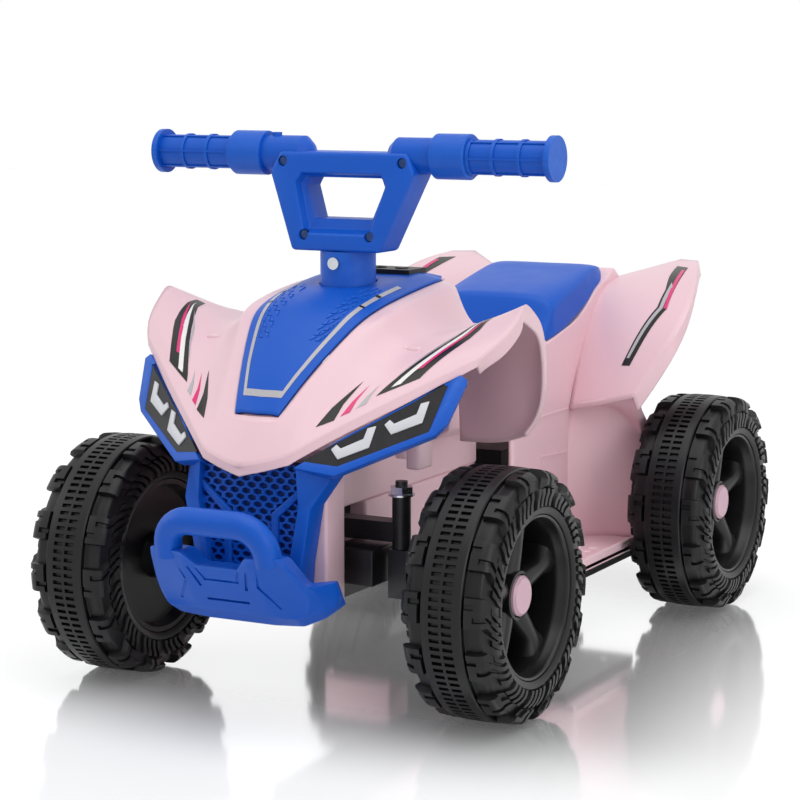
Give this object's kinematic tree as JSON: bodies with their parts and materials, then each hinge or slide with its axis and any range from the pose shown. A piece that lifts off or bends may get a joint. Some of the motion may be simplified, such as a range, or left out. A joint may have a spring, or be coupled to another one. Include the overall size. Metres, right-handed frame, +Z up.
{
  "type": "ride-on toy quad bike",
  "caption": "Battery ride-on toy quad bike for a small child, with turning handlebar and front wheels, driven rear wheel, moulded seat, footwells, pedal and switches.",
  "frame": {"origin": "centre of the bounding box in plan, on the floor under the tyres", "axes": "+X to the rider's left, -Y forward, +Z up"},
  "size_m": [0.42, 0.7, 0.4535],
  "materials": {
    "pink_body": "satin moulded",
    "pink_caps": "satin moulded",
    "blue_plastic": "fine grain",
    "dark_grey_plastic": "satin",
    "black_plastic": "moulded",
    "grey_pedal": "ribbed",
    "black_tyre": "blow-moulded, satin",
    "black_rim": "satin",
    "zinc_steel": "zinc plated",
    "dark_screws": "black oxide",
    "nylon": "moulded",
    "lead_sheath": "smooth"
  },
  "bodies": {
    "chassis": {"main_body": "pink_body", "front_hood": "pink_body", "hood_insert": "blue_plastic", "dash_panel": "dark_grey_plastic", "headlight_frame_left": "blue_plastic", "headlight_frame_right": "blue_plastic", "headlight_panel_left": "dark_grey_plastic", "headlight_panel_right": "dark_grey_plastic", "front_grille": "blue_plastic", "front_bumper": "blue_plastic", "seat": "blue_plastic", "under_tray": "black_plastic", "front_axle_beam": "black_plastic", "beam_bolts": "zinc_steel", "upper_steering_bush": "nylon", "lower_steering_bush": "nylon", "rear_axle": "zinc_steel", "rear_axle_nuts": "zinc_steel", "rear_wheel_spacer": "zinc_steel", "gearbox_inner": "black_plastic", "gearbox_outer": "black_plastic", "idler_pin": "zinc_steel", "drive_motor": "zinc_steel", "battery": "black_plastic", "motor_lead": "lead_sheath", "pedal_base": "black_plastic", "charge_socket": "black_plastic", "tray_screws": "zinc_steel"},
    "handlebar": {"handlebar_front": "blue_plastic", "handlebar_rear": "blue_plastic", "handlebar_screws": "dark_screws", "grip_left": "blue_plastic", "grip_right": "blue_plastic", "steering_stem": "blue_plastic", "stem_bolt": "zinc_steel", "steering_rod": "zinc_steel"},
    "horn_button": {"horn_button": "blue_plastic"},
    "knuckle_left": {"knuckle_left": "zinc_steel", "knuckle_nuts_left": "zinc_steel"},
    "knuckle_right": {"knuckle_right": "zinc_steel", "knuckle_nuts_right": "zinc_steel"},
    "tie_rod": {"tie_rod": "zinc_steel"},
    "wheel_front_left": {"tyre_front_left": "black_tyre", "rim_front_left": "black_rim", "hub_cap_front_left": "pink_caps"},
    "wheel_front_right": {"tyre_front_right": "black_tyre", "rim_front_right": "black_rim", "hub_cap_front_right": "pink_caps"},
    "wheel_rear_left": {"tyre_rear_left": "black_tyre", "rim_rear_left": "black_rim", "hub_cap_rear_left": "pink_caps"},
    "wheel_rear_right": {"tyre_rear_right": "black_tyre", "rim_rear_right": "black_rim", "hub_cap_rear_right": "pink_caps", "output_gear": "nylon"},
    "idler_gear": {"idler_gear": "nylon"},
    "motor_pinion": {"motor_pinion": "nylon"},
    "foot_pedal": {"foot_pedal": "grey_pedal"},
    "direction_rocker": {"direction_rocker": "black_plastic"},
    "power_button": {"power_button": "black_plastic"}
  },
  "joints": [
    {"name": "steering_turn", "type": "hinge", "parent": "chassis", "child": "handlebar", "pos_m": [0, -0.126, 0.3], "axis": [0, 0, 1], "range_deg": [-20, 20]},
    {"name": "horn_press", "type": "slide", "parent": "handlebar", "child": "horn_button", "axis": [0, 0, -1], "range_m": [0, 0.0015], "stiffness_N_per_m": 600},
    {"name": "knuckle_left_turn", "type": "hinge", "parent": "chassis", "child": "knuckle_left", "pos_m": [0.087, -0.197, 0.15], "axis": [0, 0, 1], "range_deg": [-20, 20]},
    {"name": "knuckle_right_turn", "type": "hinge", "parent": "chassis", "child": "knuckle_right", "pos_m": [-0.087, -0.197, 0.15], "axis": [0, 0, 1], "range_deg": [-20, 20]},
    {"name": "tie_rod_swing", "type": "hinge", "parent": "handlebar", "child": "tie_rod", "pos_m": [0, -0.096, 0.12], "axis": [0, 0, 1], "range_deg": [-20, 20]},
    {"name": "wheel_front_left_spin", "type": "hinge", "parent": "knuckle_left", "child": "wheel_front_left", "pos_m": [0.171, -0.197, 0.1], "axis": [1, 0, 0], "continuous": true},
    {"name": "wheel_front_right_spin", "type": "hinge", "parent": "knuckle_right", "child": "wheel_front_right", "pos_m": [-0.171, -0.197, 0.1], "axis": [1, 0, 0], "continuous": true},
    {"name": "wheel_rear_left_spin", "type": "hinge", "parent": "chassis", "child": "wheel_rear_left", "pos_m": [0.171, 0.25, 0.1], "axis": [1, 0, 0], "continuous": true},
    {"name": "wheel_rear_right_spin", "type": "hinge", "parent": "chassis", "child": "wheel_rear_right", "pos_m": [-0.171, 0.25, 0.1], "axis": [1, 0, 0], "continuous": true},
    {"name": "idler_spin", "type": "hinge", "parent": "chassis", "child": "idler_gear", "pos_m": [-0.069, 0.29226, 0.11132], "axis": [1, 0, 0], "continuous": true},
    {"name": "pinion_spin", "type": "hinge", "parent": "chassis", "child": "motor_pinion", "pos_m": [-0.069, 0.31761, 0.11812], "axis": [1, 0, 0], "continuous": true},
    {"name": "pedal_press", "type": "hinge", "parent": "chassis", "child": "foot_pedal", "pos_m": [-0.095, 0.162, 0.0763], "axis": [1, 0, 0], "range_deg": [0, 8], "stiffness_Nm_per_rad": 1.2},
    {"name": "direction_rock", "type": "hinge", "parent": "chassis", "child": "direction_rocker", "pos_m": [-0.02, -0.069, 0.33625], "axis": [1, 0, 0], "range_deg": [-8, 8]},
    {"name": "power_press", "type": "slide", "parent": "chassis", "child": "power_button", "axis": [0, 0, -1], "range_m": [0, 0.0015], "stiffness_N_per_m": 600}
  ],
  "couplings": [
    {"joint": "knuckle_left_turn", "follows": "steering_turn", "ratio": 1},
    {"joint": "knuckle_right_turn", "follows": "steering_turn", "ratio": 1},
    {"joint": "tie_rod_swing", "follows": "steering_turn", "ratio": -1},
    {"joint": "idler_spin", "follows": "wheel_rear_right_spin", "ratio": -1.5},
    {"joint": "pinion_spin", "follows": "wheel_rear_right_spin", "ratio": 3}
  ]
}
